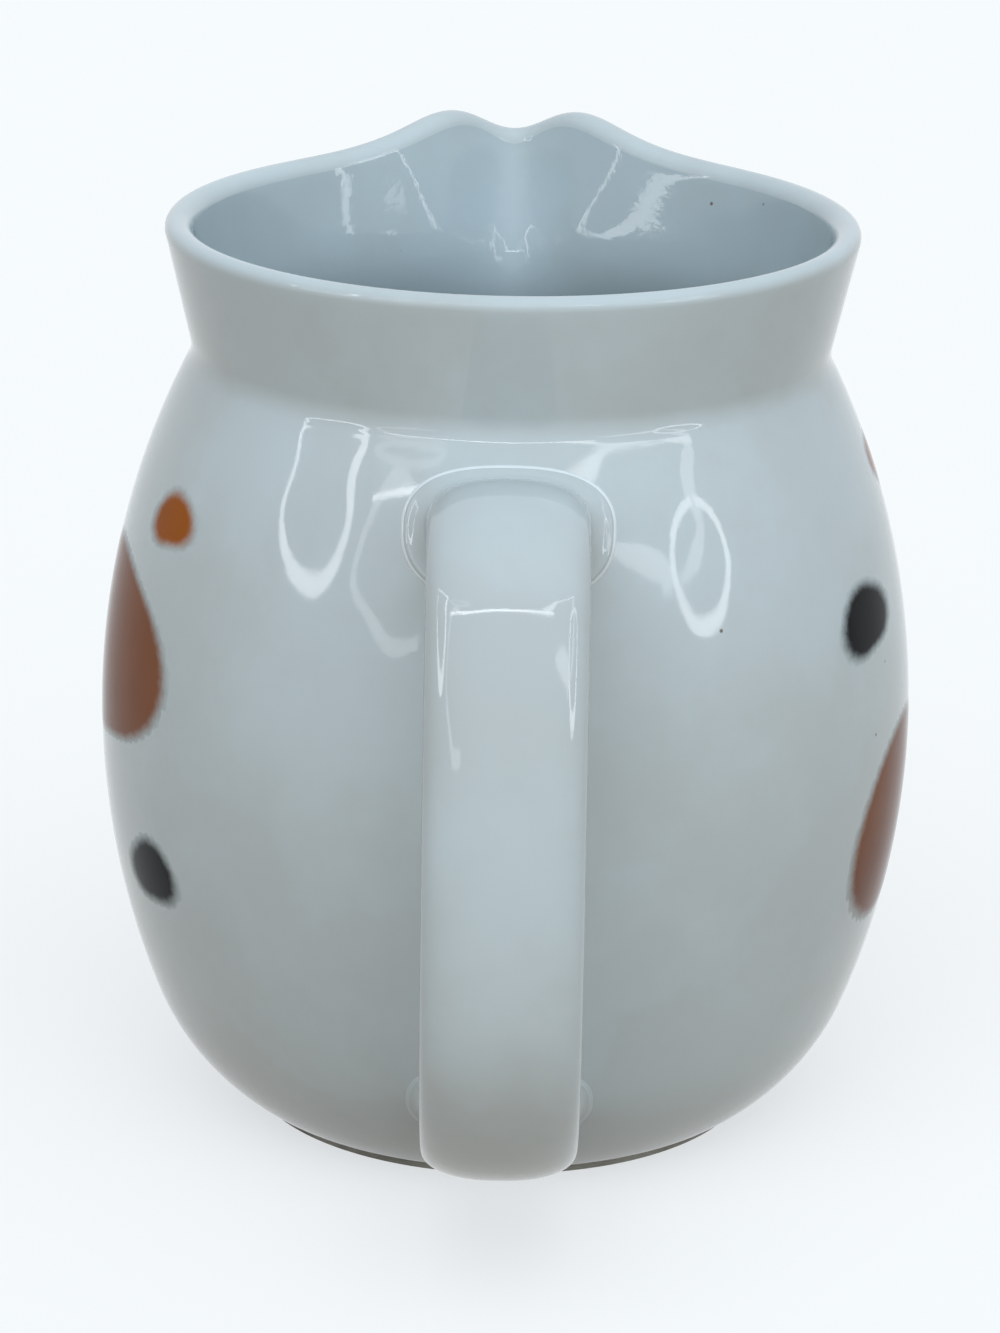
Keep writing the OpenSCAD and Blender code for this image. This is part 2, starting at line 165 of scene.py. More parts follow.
def floor_arc():
    """Centre of the arc that joins the floor to the side inside."""
    gap = LOWER_ARC_R - WALL - FLOOR_FILLET_R
    z = FLOOR_Z + FLOOR_FILLET_R
    return Vector((LOWER_CENTRE.x + math.sqrt(gap**2 - (BELLY_Z - z) ** 2), z))


FLOOR_CENTRE = floor_arc()
FLOOR_TURN = (FLOOR_CENTRE - LOWER_CENTRE).normalized()


def side_end_z(depth):
    """Height at which the side arc meets the neck's hollow, for a surface set in by depth."""
    return BELLY_Z + (SIDE_ARC_R - depth) * NECK_TURN.y


def pot_r(z, depth=0.0):
    """Radius of the pot at height z, for a surface set in from the outside by depth."""
    z = np.asarray(z, float)

    def chord(centre, radius):
        return np.sqrt(np.maximum(0, radius**2 - (z - centre.y) ** 2))

    base = BASE_CENTRE.x + chord(BASE_CENTRE, BASE_ARC_R - depth)
    lower = LOWER_CENTRE.x + chord(LOWER_CENTRE, LOWER_ARC_R - depth)
    side = SIDE_CENTRE.x + chord(SIDE_CENTRE, SIDE_ARC_R - depth)
    neck = NECK_CENTRE.x - chord(NECK_CENTRE, NECK_FILLET_R + depth)
    collar = RIM_R - (COLLAR_TOP_Z - z) * LEAN - depth / math.cos(COLLAR_LEAN)
    base_end = BELLY_Z + (LOWER_ARC_R - depth) * BASE_TURN.y
    neck_end = NECK_CENTRE.y + (NECK_FILLET_R + depth) * math.sin(COLLAR_LEAN)
    below = [z < base_end, z < BELLY_Z, z < side_end_z(depth), z < neck_end]
    return np.select(below, [base, lower, side, neck], collar)


HANDLE_TOP_Z = side_end_z(0) - HANDLE_DROP


# Spout. An angle is measured round the axis from the spout's tip.
def bell(angle, half_angle):
    return np.exp(-((angle / half_angle) ** 2))


def lift(angle, share):
    """How far the spout raises a ring: two swells with a dip at the tip."""
    rise = SWELL_RISE * bell(angle, SWELL_ANGLE) - TIP_DIP * bell(angle, DIP_ANGLE)
    return rise * share**LIFT_POWER


def spout_r(z, angle):
    """Radius and height of the outside where the plain pot's ring is at height z."""
    share = max(0.0, (z - SPOUT_START_Z) / (COLLAR_TOP_Z - SPOUT_START_Z))
    spread = THROAT_ANGLE + (MOUTH_ANGLE - THROAT_ANGLE) * share
    bulge = SPOUT_REACH * share**REACH_POWER * bell(angle, spread)
    rise = lift(angle, share)
    return pot_r(z) + bulge + rise * LEAN, z + rise


def spout_normal(z, angle):
    """Outward direction seen from above, as two columns."""
    small = 1e-4
    ahead, behind = spout_r(z, angle + small)[0], spout_r(z, angle - small)[0]
    slope, r = (ahead - behind) / (2 * small), spout_r(z, angle)[0]
    across = slope * np.sin(angle) + r * np.cos(angle)
    along = slope * np.cos(angle) - r * np.sin(angle)
    size = np.hypot(across, along)
    return -along / size, across / size


def outer_ring(z, angle):
    r, height = spout_r(z, angle)
    return np.column_stack([r * np.sin(angle), r * np.cos(angle), height])


def inside_r(z):
    """Radius of the inside, where the cast clay rounds off the bend at the neck."""
    reach = min(INSIDE_SOFTENING, z - SPOUT_START_Z, COLLAR_TOP_Z - z)
    return pot_r(z + reach * np.linspace(-1, 1, SOFTENING_SAMPLES), WALL).mean()


def inner_ring(z, angle):
    nx, ny = spout_normal(z, angle)
    thick = pot_r(z) - inside_r(z)
    return outer_ring(z, angle) - thick * np.column_stack([nx, ny, np.zeros_like(nx)])


def lip_ring(turn, angle):
    """One ring over the lip: turn 0 is on the outside and a half turn on the inside."""
    nx, ny = spout_normal(COLLAR_TOP_Z, angle)
    outside, inside = outer_ring(COLLAR_TOP_Z, angle), inner_ring(COLLAR_TOP_Z, angle)
    lean_out = math.sin(COLLAR_LEAN)
    up = np.column_stack([nx * lean_out, ny * lean_out, np.full_like(nx, math.cos(COLLAR_LEAN))])
    middle, half = (outside + inside) / 2, (outside - inside) / 2
    return middle + half * math.cos(turn) + LIP_H * up * math.sin(turn)


# Meshes
def mesh_object(name, points, faces, materials, face_material=None):
    """A closed, smooth-shaded mesh on the jug's axis, with its faces turned outwards."""
    mesh = bpy.data.meshes.new(name)
    shifted = np.asarray(points, float) + (0, AXIS_Y, 0)
    mesh.from_pydata(shifted.tolist(), [], faces)
    mesh.polygons.foreach_set("use_smooth", [True] * len(mesh.polygons))
    for material in materials:
        mesh.materials.append(material)
    if face_material is not None:
        mesh.polygons.foreach_set("material_index", face_material)
    shape = bmesh.new()
    shape.from_mesh(mesh)
    if shape.calc_volume(signed=True) < 0:
        mesh.flip_normals()
    shape.free()
    mesh.update()
    obj = bpy.data.objects.new(name, mesh)
    bpy.context.scene.collection.objects.link(obj)
    return obj


def tube_faces(rings, sides):
    """Quads between rings of points, each ring joined to the next."""
    faces = []
    for i in range(rings - 1):
        for j in range(sides):
            a, b = i * sides + j, i * sides + (j + 1) % sides
            faces.append((a, b, b + sides, a + sides))
    return faces


def fan(ring_start, sides, centre, flip):
    """Triangles from one ring to the point at its middle."""
    faces = []
    for j in range(sides):
        a, b = ring_start + j, ring_start + (j + 1) % sides
        faces.append((b, a, centre) if flip else (a, b, centre))
    return faces


def arc(centre, radius, start, end):
    """Points on an arc about RING_GAP apart, the last one left out."""
    count = max(2, round(abs(end - start) * radius / RING_GAP))
    turns = start + (end - start) * np.arange(count) / count
    return [(centre.x + radius * math.cos(t), centre.y + radius * math.sin(t)) for t in turns]


def soft_corners(points, reach):
    """The same outline without its last point, and with each corner between its first and
    last points rounded off over a reach to both sides."""
    out = [points[0]]
    for before, corner, after in zip(points, points[1:], points[2:]):
        corner = Vector(corner)
        start = corner + (Vector(before) - corner).normalized() * reach
        end = corner + (Vector(after) - corner).normalized() * reach
        for k in range(CORNER_STEPS + 1):
            t = k / CORNER_STEPS
            out.append(tuple((1 - t) ** 2 * start + 2 * t * (1 - t) * corner + t**2 * end))
    return out


def spread_evenly(start, end, gap):
    """Values from start on, about a gap apart, with the end left out."""
    count = max(2, round(abs(end - start) / gap))
    return [start + (end - start) * i / count for i in range(count)]


def turn_of(direction):
    return math.atan2(direction.y, direction.x)


def outside_outline():
    """[radius, height] from the middle of the foot's hollow to where the spout starts."""
    foot_in = FOOT_R - FOOT_W
    hollow_half = foot_in / 2
    base_start = turn_of(FOOT_EDGE - BASE_CENTRE)
    base = arc(BASE_CENTRE, BASE_ARC_R, base_start, turn_of(BASE_TURN))
    corners = [(hollow_half, FOOT_HOLLOW), (foot_in, FOOT_HOLLOW), (foot_in, 0.0), (FOOT_R, 0.0),
               (FOOT_R, FOOT_H), tuple(FOOT_EDGE), base[1]]
    foot = soft_corners(corners, FOOT_ROUND)
    hollow = [(r, FOOT_HOLLOW) for r in spread_evenly(RING_GAP, hollow_half, 2 * RING_GAP)]
    lower = arc(LOWER_CENTRE, LOWER_ARC_R, turn_of(BASE_TURN), 0)
    side_top = math.asin((SPOUT_START_Z - BELLY_Z) / SIDE_ARC_R)
    side = arc(SIDE_CENTRE, SIDE_ARC_R, 0, side_top)
    return hollow + foot, base[1:] + lower + side


def inside_outline():
    """[radius, height] from where the spout starts down to the middle of the floor."""
    inner_side, inner_lower = SIDE_ARC_R - WALL, LOWER_ARC_R - WALL
    side_top = math.asin((SPOUT_START_Z - BELLY_Z) / inner_side)
    side = arc(SIDE_CENTRE, inner_side, side_top, 0)
    lower = arc(LOWER_CENTRE, inner_lower, 0, turn_of(FLOOR_TURN))
    rise = arc(FLOOR_CENTRE, FLOOR_FILLET_R, turn_of(FLOOR_TURN), -math.pi / 2)
    flat = [(r, FLOOR_Z) for r in spread_evenly(FLOOR_CENTRE.x, RING_GAP, 2 * RING_GAP)]
    return side[1:] + lower + rise + flat + [(RING_GAP, FLOOR_Z)]


def loft_heights():
    """Heights of the rings through the spout, closer together where the neck turns."""
    neck_from = side_end_z(WALL)
    neck_to = NECK_CENTRE.y + (NECK_FILLET_R + WALL) * math.sin(COLLAR_LEAN)
    return (spread_evenly(SPOUT_START_Z, neck_from, RING_GAP)
            + spread_evenly(neck_from, neck_to, RING_GAP / 3)
            + spread_evenly(neck_to, COLLAR_TOP_Z, RING_GAP)
            + [COLLAR_TOP_Z])


def jug_angles():
    """Angles of a ring's points, closer together round the spout."""
    fine = np.arange(-FINE_TO, FINE_TO + FINE_STEP / 2, FINE_STEP)
    rest = np.arange(FINE_TO + COARSE_STEP, 2 * math.pi - FINE_TO - COARSE_STEP / 2, COARSE_STEP)
    angles = np.concatenate([fine, rest])
    return np.where(angles > math.pi, angles - 2 * math.pi, angles)


# Coats of the pot's faces, and how many rings at the end of the foot's outline have glaze
OUTSIDE_COAT, BARE_COAT, SHADED_INSIDE_COAT = range(3)
GLAZED_FOOT_RINGS = 3


def make_body(glaze, biscuit, inside_glaze_painted_shade):
    """The pot as one closed skin: foot, outside, lip, inside and floor."""
    angle = jug_angles()

    def turned(r, z):
        return np.column_stack([r * np.sin(angle), r * np.cos(angle), np.full_like(angle, z)])

    foot, side = outside_outline()
    heights = loft_heights()
    lip_turns = np.linspace(0, math.pi, LIP_STEPS + 1)[1:-1]
    rings = [turned(r, z) for r, z in foot + side]
    rings += [outer_ring(z, angle) for z in heights]
    rings += [lip_ring(turn, angle) for turn in lip_turns]
    inside = len(rings)
    rings += [inner_ring(z, angle) for z in reversed(heights)]
    rings += [turned(r, z) for r, z in inside_outline()]
    count, sides = len(rings), len(angle)
    points = np.concatenate(rings + [[(0, 0, FOOT_HOLLOW)], [(0, 0, FLOOR_Z)]])
    faces = tube_faces(count, sides)
    faces += fan(0, sides, count * sides, True)
    faces += fan((count - 1) * sides, sides, count * sides + 1, False)
    coats = np.full(len(faces), OUTSIDE_COAT, np.int32)
    coats[: (len(foot) - GLAZED_FOOT_RINGS) * sides] = BARE_COAT
    # The inside's coat is the glaze with its colour darkened as painted shade
    coats[inside * sides:] = SHADED_INSIDE_COAT
    coats[(count - 1) * sides: count * sides] = BARE_COAT
    body = mesh_object("glazed_body", points, faces, [glaze, biscuit, inside_glaze_painted_shade], coats)
    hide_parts("jug_body")
    return body


# Handle. Its middle line lies in the plane of the spout, as [distance from the axis, height].
# It leaves the shoulder square to the wall, bends into one long arc and bends in to the belly.
BACK_R = HANDLE_BACK_R - HANDLE_T / 2
BACK_CENTRE = Vector((HANDLE_REACH - HANDLE_BACK_R, HANDLE_OUT_Z))


class StrapEnd:
    """An end of the strap: where its middle line meets the pot, the direction in which it
    leaves and that of its outer face, its fillets, and the bend that joins the long arc."""

    def __init__(self, z, lean, face_turn, straight, thick, side_fillet, face_fillet):
        self.start = Vector((float(pot_r(z)), z))
        self.run = Vector((math.cos(lean), math.sin(lean)))
        self.face = Vector((math.cos(face_turn), math.sin(face_turn)))
        self.leaves, self.straight, self.thick = face_turn, straight, thick
        self.side_fillet, self.face_fillet = side_fillet, face_fillet
        off = self.along(straight) - BACK_CENTRE
        self.bend_r = (BACK_R**2 - off.dot(off)) / (2 * (BACK_R - off.dot(self.face)))
        self.bend_centre = self.along(straight) - self.bend_r * self.face
        self.meets_back = turn_of(self.bend_centre - BACK_CENTRE)
        self.length = straight + self.bend_r * abs(self.leaves - self.meets_back)

    def along(self, length):
        return self.start + length * self.run

    def size_at(self, length):
        """Width and thickness of the strap at a length from this end."""
        share = np.maximum(0, 1 - length / self.length)
        return (HANDLE_W + share**2 * (HANDLE_END_W - HANDLE_W),
                HANDLE_T + share**2 * (self.thick - HANDLE_T))

    def fillet(self):
        """Radius of the fillet round the strap's section: at its sides, and over it."""
        over = np.maximum(0, np.sin(section_angles()))
        return self.side_fillet + (self.face_fillet - self.side_fillet) * over**2

    def straight_rings(self, lengths):
        return [strap_ring(self.along(s), self.leaves, self.size_at(s)) for s in lengths]

    def bend_rings(self, turns):
        rings = []
        for turn in turns:
            length = self.straight + self.bend_r * abs(self.leaves - turn)
            rings.append(strap_ring(on_arc(self.bend_centre, self.bend_r, turn), turn,
                                    self.size_at(length)))
        return rings


def on_arc(centre, radius, turn):
    return centre + radius * Vector((math.cos(turn), math.sin(turn)))


def signed_power(x, p):
    return np.sign(x) * np.abs(x) ** p


def section_angles():
    return np.arange(STRAP_SIDES) * 2 * math.pi / STRAP_SIDES


def section(size, spread):
    """Outline of the strap's section: across, and out from its middle line."""
    angle = section_angles()
    across = (size[0] / 2 + spread) * signed_power(np.cos(angle), 2 / SECTION_POWER)
    out = (size[1] / 2 + spread) * signed_power(np.sin(angle), 2 / SECTION_POWER)
    return across, out


def strap_ring(middle, turn, size):
    across, out = section(size, 0)
    return np.column_stack([across, -(middle.x + out * math.cos(turn)),
                            middle.y + out * math.sin(turn)])


def on_pot(end, across, out, gap):
    """Points of an end's outline, slid along its run to a gap away from the pot's wall."""
    length = np.zeros_like(across)
    for _ in range(SLIDE_STEPS):
        r = end.start.x + out * end.face.x + length * end.run.x
        z = end.start.y + out * end.face.y + length * end.run.y
        length = length + (np.sqrt((pot_r(z) + gap) ** 2 - across**2) - r) / end.run.x
    return np.column_stack([across, -(r + 0 * across), z])


def root_rings(end):
    """Rings of the fillet, from inside the wall out to where the strap begins."""
    fillet = end.fillet()
    rings = [on_pot(end, *section(end.size_at(END_GAP), fillet), -ROOT_SINK)]
    for turn in np.linspace(math.pi / 2, 0, FILLET_STEPS + 1):
        gap = END_GAP + fillet * (1 - math.sin(turn))
        outline = section(end.size_at(gap), fillet * (1 - math.cos(turn)))
        rings.append(on_pot(end, *outline, gap))
    return rings


def strap_ends():
    lean = math.asin((HANDLE_TOP_Z - BELLY_Z) / SIDE_ARC_R)
    top = StrapEnd(HANDLE_TOP_Z, lean, math.pi / 2 + lean, HANDLE_TOP_RUN, HANDLE_TOP_T,
                   SIDE_FILLET_R, TOP_FILLET_R)
    foot = StrapEnd(HANDLE_FOOT_Z, 0, -math.pi / 2, HANDLE_FOOT_RUN, HANDLE_T,
                    FOOT_FILLET_R, FOOT_FILLET_R)
    return top, foot


def make_handle(glaze):
    """The strap with the fillets of both its roots, which end inside the wall."""
    top, foot = strap_ends()
    top_clear = SIDE_FILLET_R + 2 * END_GAP
    foot_clear = (FOOT_FILLET_R + 2 * END_GAP
                  + float(pot_r(HANDLE_FOOT_Z + HANDLE_T / 2) - pot_r(HANDLE_FOOT_Z)))
    rings = root_rings(top)
    rings += top.straight_rings(spread_evenly(top_clear, top.straight, STRAP_GAP))
    rings += top.bend_rings(spread_evenly(top.leaves, top.meets_back, STRAP_GAP / top.bend_r))
    for turn in spread_evenly(top.meets_back, foot.meets_back, STRAP_GAP / BACK_R):
        rings.append(strap_ring(on_arc(BACK_CENTRE, BACK_R, turn), turn, (HANDLE_W, HANDLE_T)))
    rings += foot.bend_rings(spread_evenly(foot.meets_back, foot.leaves, STRAP_GAP / foot.bend_r))
    rings += foot.straight_rings(spread_evenly(foot.straight, foot_clear, STRAP_GAP))
    rings += foot.straight_rings([foot_clear]) + root_rings(foot)[::-1]
    points = np.concatenate(rings)
    faces = [face[::-1] for face in tube_faces(len(rings), STRAP_SIDES)]
    faces.append(tuple(range(STRAP_SIDES)))
    faces.append(tuple(reversed(range(len(points) - STRAP_SIDES, len(points)))))
    handle = mesh_object("glazed_handle", points, faces, [glaze])
    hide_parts("handle")
    return handle


def lens(surface, sides, heights, depth):
    """Closed thin body on a surface: rings from its middle out, at these heights over the
    surface, then back underneath at a depth. surface(share, height) gives one ring."""
    shares = np.linspace(0, 1, len(heights) + 1)[1:]
    rings = [surface(share, height) for share, height in zip(shares, heights)]
    rings += [surface(share, -depth) for share in reversed(shares)]
    points = np.concatenate(rings + [surface(0, heights[0])[:1], surface(0, -depth)[:1]])
    faces = tube_faces(len(rings), sides)
    faces += fan(0, sides, len(rings) * sides, True)
    faces += fan((len(rings) - 1) * sides, sides, len(rings) * sides + 1, False)
    return points, faces


def make_slip(name, node, end, glaze):
    """Bead of glazed slip that shows as a soft run-out round one end of the handle."""
    across, out = section(end.size_at(END_GAP), end.fillet() + SLIP_RUN_OUT)

    def surface(share, height):
        return on_pot(end, across * share, out * share, height)

    reach = end.thick / 2 + end.face_fillet + SLIP_RUN_OUT
    distance = np.arange(1, SLIP_RINGS + 1) / SLIP_RINGS * reach
    past = (distance - (reach - SLIP_RUN_OUT)) / SLIP_RUN_OUT
    falls = 0.5 + 0.5 * np.cos(math.pi * np.clip(past, 0, 1))
    points, faces = lens(surface, STRAP_SIDES, END_GAP * falls, SLIP_SINK)
    bead = mesh_object(name, points, faces, [glaze])
    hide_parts(node)
    return bead


# Fired colours. A spot is given by its way round the belly towards the spout, its height over
# the widest ring and its size, all as shares of the largest spot's, and its outline's turn.
SPOTS = {
    "left_terracotta_patch": (-1, [(-0.51, 0.75, 1, 20)]),
    "left_black_patches": (-1, [(0.97, -0.95, 0.82, -35), (-1.39, -0.95, 0.38, 50)]),
    "left_rust_patches": (-1, [(1.48, 1, 0.42, 10), (-1.34, 2.05, 0.32, 30)]),
    "right_terracotta_patch": (1, [(-0.46, -0.6, 1, -15)]),
    "right_black_patches": (1, [(0.88, 1.1, 0.78, 30), (-1.25, 1.3, 0.4, -20)]),
    "right_rust_patches": (1, [(1.43, -0.8, 0.44, 60), (-0.09, 2.3, 0.3, 75)]),
}
WOBBLE_SHARES = (0.11, 0.07)


def spot(side, way, height_share, size, turn):
    """Points and faces of one spot, and how far inside its wavy edge each point lies."""
    angle = np.arange(SPOT_SIDES) * 2 * math.pi / SPOT_SIDES
    turn = math.radians(side * turn)
    r = size * (1 + WOBBLE_SHARES[0] * np.cos(2 * angle + turn)
                + WOBBLE_SHARES[1] * np.cos(3 * angle - 2 * turn))
    x, y = PATCH_W * r * np.cos(angle), PATCH_H * r * np.sin(angle)
    facing = way * PATCH_W / BELLY_R
    facing = facing if side > 0 else math.pi - facing
    outward = np.array([math.cos(facing), math.sin(facing)])
    along = np.array([-math.sin(facing), math.cos(facing)])

    def surface(share, height):
        z = BELLY_Z + height_share * PATCH_H + y * share
        out = np.sqrt((pot_r(z) + height) ** 2 - (x * share) ** 2)
        flat = np.outer(out, outward) + np.outer(x * share, along)
        return np.column_stack([flat, z])

    inward = (1 - np.arange(1, SPOT_RINGS + 1) / SPOT_RINGS) * size * PATCH_H
    rising = np.clip(inward / PATCH_EDGE, 0, 1)
    heights = (PATCH_RISE + PATCH_SINK) * rising**2 * (3 - 2 * rising) - PATCH_SINK
    points, faces = lens(surface, SPOT_SIDES, heights, PATCH_RISE + PATCH_SINK)
    inward = np.repeat(inward, SPOT_SIDES)
    return points, faces, [*inward, *inward[::-1], size * PATCH_H, size * PATCH_H]


def make_patch(node, colour):
    """All spots of one colour on one side, as one piece that knows how far in each point is."""
    side, spots = SPOTS[node]
    points, faces, inward = [], [], []
    for one in spots:
        some, more, depths = spot(side, *one)
        first = sum(len(p) for p in points)
        points.append(some)
        faces += [tuple(first + i for i in face) for face in more]
        inward += depths
    name = node.replace("patches", "colours").replace("patch", "colour")
    patch = mesh_object(name, np.concatenate(points), faces, [colour])
    patch.data.attributes.new("inward", "FLOAT", "POINT").data.foreach_set("value", inward)
    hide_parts(node)
    return patch


# Materials
GLAZE_LIGHT = (0.525, 0.58, 0.60, 1)
GLAZE_DEEP = (0.49, 0.525, 0.53, 1)
# Darker, bluer tones of the glaze inside the pot: painted shade of the jug's hollow, where less
# light falls
SHADED_INSIDE_LIGHT = (0.44, 0.51, 0.54, 1)
SHADED_INSIDE_DEEP = (0.42, 0.475, 0.495, 1)
# Much lighter tones for the glaze on the upper slip bead: a painted highlight round the handle's
# upper root
SLIP_HIGHLIGHT_LIGHT = (0.80, 0.83, 0.85, 1)
SLIP_HIGHLIGHT_DEEP = (0.70, 0.73, 0.75, 1)
PINHOLE = (0.15, 0.12, 0.10, 1)
CLAY = (0.42, 0.40, 0.36, 1)
RUBBED_CLAY = (0.26, 0.245, 0.22, 1)

# Fired colours, each with its deep and its pale tone, and how far in their edges fade
FIRED_COLOURS = {
    "terracotta": ((0.19, 0.058, 0.022, 1), (0.25, 0.088, 0.038, 1)),
    "black": ((0.004, 0.004, 0.005, 1), (0.014, 0.015, 0.017, 1)),
    "rust": ((0.25, 0.045, 0.002, 1), (0.35, 0.09, 0.005, 1)),
}
COLOUR_FADE = 0.0016

# How much the coats mirror, and how deep their waves are
GLAZE_IOR = 1.5
INSIDE_IOR = 1.4
COLOUR_IOR = 1.12
GLAZE_WAVES = 0.0003
INSIDE_WAVES = 0.0012
PEEL_SHARE = 0.03
GRAIN_DEPTH = 0.0001

# Scales of the patterns, in repeats a metre
CLOUD_SCALE = 34
DRIFT_SCALE = 45
WAVE_SCALE = 60
GLOSS_SCALE = 140
PINHOLE_SCALE = 170
RUB_SCALE = 220
PEEL_SCALE = 900
MIST_SCALE = 900
GRAIN_SCALE = 1600


class Nodes:
    """A short way to add nodes to a material and link them."""

    def __init__(self, tree):
        self.tree = tree

    def add(self, kind, links=None, **settings):
        node = self.tree.nodes.new(kind)
        for key, value in settings.items():
            setattr(node, key, value)
        for socket, source in (links or {}).items():
            target = node.inputs[socket]
            if isinstance(source, bpy.types.NodeSocket):
                self.tree.links.new(source, target)
            else:
                target.default_value = source
        return node

    def noise(self, place, scale, detail=2, roughness=0.5):
        links = {"Vector": place, "Scale": scale, "Detail": detail, "Roughness": roughness}
        return self.add("ShaderNodeTexNoise", links).outputs["Fac"]

    def ramp(self, value, low, high, to_low=0.0, to_high=1.0):
        """Smooth step from one value to another while the input goes from low to high."""
        links = {"Value": value, "From Min": low, "From Max": high,
                 "To Min": to_low, "To Max": to_high}
        step = self.add("ShaderNodeMapRange", links, interpolation_type="SMOOTHSTEP")
        return step.outputs["Result"]

    def mix(self, share, a, b):
        """Mix of two colours, whose sockets of this node are 6 and 7, with the result as 2."""
        links = {"Factor": share, 6: a, 7: b}
        return self.add("ShaderNodeMix", links, data_type="RGBA").outputs[2]

    def maths(self, operation, *values):
        return self.add("ShaderNodeMath", dict(enumerate(values)), operation=operation).outputs[0]


def new_material(name):
    material = bpy.data.materials.new(name)
    material.use_nodes = True
    material.node_tree.nodes.clear()
    nodes = Nodes(material.node_tree)
    place = nodes.add("ShaderNodeTexCoord").outputs["Object"]
    return material, nodes, place


def finish_material(nodes, colour, roughness, normal, ior=GLAZE_IOR):
    shader = nodes.add("ShaderNodeBsdfPrincipled", {
        "Base Color": colour, "Roughness": roughness, "IOR": ior, "Normal": normal})
    nodes.add("ShaderNodeOutputMaterial", {"Surface": shader.outputs["BSDF"]})


def glaze_colour(nodes, place, deep=GLAZE_DEEP, light=GLAZE_LIGHT):
    """Cool white with cloudy tone and a few dark pinholes, in one cell out of four."""
    cloud = nodes.noise(place, CLOUD_SCALE, detail=5, roughness=0.6)
    colour = nodes.mix(nodes.ramp(cloud, low=0.36, high=0.64), deep, light)
    cells = nodes.add("ShaderNodeTexVoronoi", {"Vector": place, "Scale": PINHOLE_SCALE})
    chosen = nodes.add("ShaderNodeSeparateColor", {"Color": cells.outputs["Color"]})
    rare = nodes.maths("GREATER_THAN", chosen.outputs["Red"], 0.75)
    dot = nodes.ramp(cells.outputs["Distance"], low=0.02, high=0.05, to_low=1.0, to_high=0.0)
    return nodes.mix(nodes.maths("MULTIPLY", rare, dot), colour, PINHOLE)


def glaze_gloss(nodes, place):
    """Roughness of a coat, from well polished to a little dulled."""
    wear = nodes.noise(place, GLOSS_SCALE, detail=3)
    return nodes.ramp(wear, low=0.3, high=0.7, to_low=0.035, to_high=0.07)


def glaze_bump(nodes, place, waves=GLAZE_WAVES):
    """Slow waves that bend the reflections, with a faint orange peel on top."""
    slow = nodes.noise(place, WAVE_SCALE, detail=1)
    peel = nodes.noise(place, PEEL_SCALE)
    height = nodes.maths("MULTIPLY_ADD", peel, PEEL_SHARE, slow)
    links = {"Height": height, "Strength": 0.35, "Distance": waves}
    return nodes.add("ShaderNodeBump", links).outputs["Normal"]


def make_glaze(name, deep=GLAZE_DEEP, light=GLAZE_LIGHT, waves=GLAZE_WAVES, ior=GLAZE_IOR):
    """One coat of glaze, with its cloudy tone, its gloss and its waves."""
    material, nodes, place = new_material(name)
    colour, gloss = glaze_colour(nodes, place, deep, light), glaze_gloss(nodes, place)
    finish_material(nodes, colour, gloss, glaze_bump(nodes, place, waves), ior)
    return material


def make_biscuit():
    """Bare fired clay of the foot ring, rubbed grey where it stands."""
    material, nodes, place = new_material("bare_biscuit")
    grain = nodes.noise(place, GRAIN_SCALE, detail=4, roughness=0.65)
    rub = nodes.ramp(nodes.noise(place, RUB_SCALE, detail=3), low=0.4, high=0.7)
    clay = nodes.mix(rub, CLAY, RUBBED_CLAY)
    links = {"Height": grain, "Strength": 0.6, "Distance": GRAIN_DEPTH}
    normal = nodes.add("ShaderNodeBump", links).outputs["Normal"]
    roughness = nodes.ramp(grain, low=0.3, high=0.7, to_low=0.7, to_high=0.9)
    finish_material(nodes, clay, roughness, normal)
    return material


def make_colour(name, deep, pale):
    """Fired colour, sprayed on so that it fades out into the glaze at its edge."""
    material, nodes, place = new_material(name)
    inward = nodes.add("ShaderNodeAttribute", attribute_name="inward").outputs["Fac"]
    mist = nodes.noise(place, MIST_SCALE, detail=5, roughness=0.7)
    uneven = nodes.maths("MULTIPLY_ADD", mist, COLOUR_FADE / 2, inward)
    cover = nodes.ramp(uneven, low=COLOUR_FADE / 2, high=COLOUR_FADE * 1.5)
    drift = nodes.ramp(nodes.noise(place, DRIFT_SCALE, detail=3), low=0.35, high=0.7)
    colour = nodes.mix(cover, glaze_colour(nodes, place), nodes.mix(drift, deep, pale))
    gloss = glaze_gloss(nodes, place)
    finish_material(nodes, colour, gloss, glaze_bump(nodes, place), COLOUR_IOR)
    return material


# Studio. Directions are given in degrees seen from the jug: azimuth 0 is the camera's side and
# 90 the right, and elevation is measured up from level.
PALE = (0.905, 0.938, 0.965, 1)
BOUNCE = (0.32, 0.245, 0.175, 1)
FLOOR_LIGHT = (0.84, 0.93, 1.01)
FLOOR_GLOW_SHARE = 0.7
FLOOR_HALF = 3.0
SKY_HIGH = (1.37, 1.69, 1.94, 1)
SKY_LOW = (1.08, 1.07, 1.00, 1)
SKY_SIDE = (0.08, 0.085, 0.09, 1)
SKY_BACK = (0.85, 0.90, 0.94, 1)
LAMP_COLOUR = (0.93, 0.97, 1, 1)
LAMP_DISTANCE = 4.0
LAMP_CENTRE_Z = 0.075

# The key light, and how the sky's light falls off: it darkens towards the spout's side, the
# more so on the left and below
KEY_LIGHT = {"azimuth": -12, "elevation": 62, "strength": 0.75, "size": 50,
             "colour": (0.97, 0.99, 1.0)}
FALL_OFF_X = -0.22
FALL_OFF_Z = -0.45

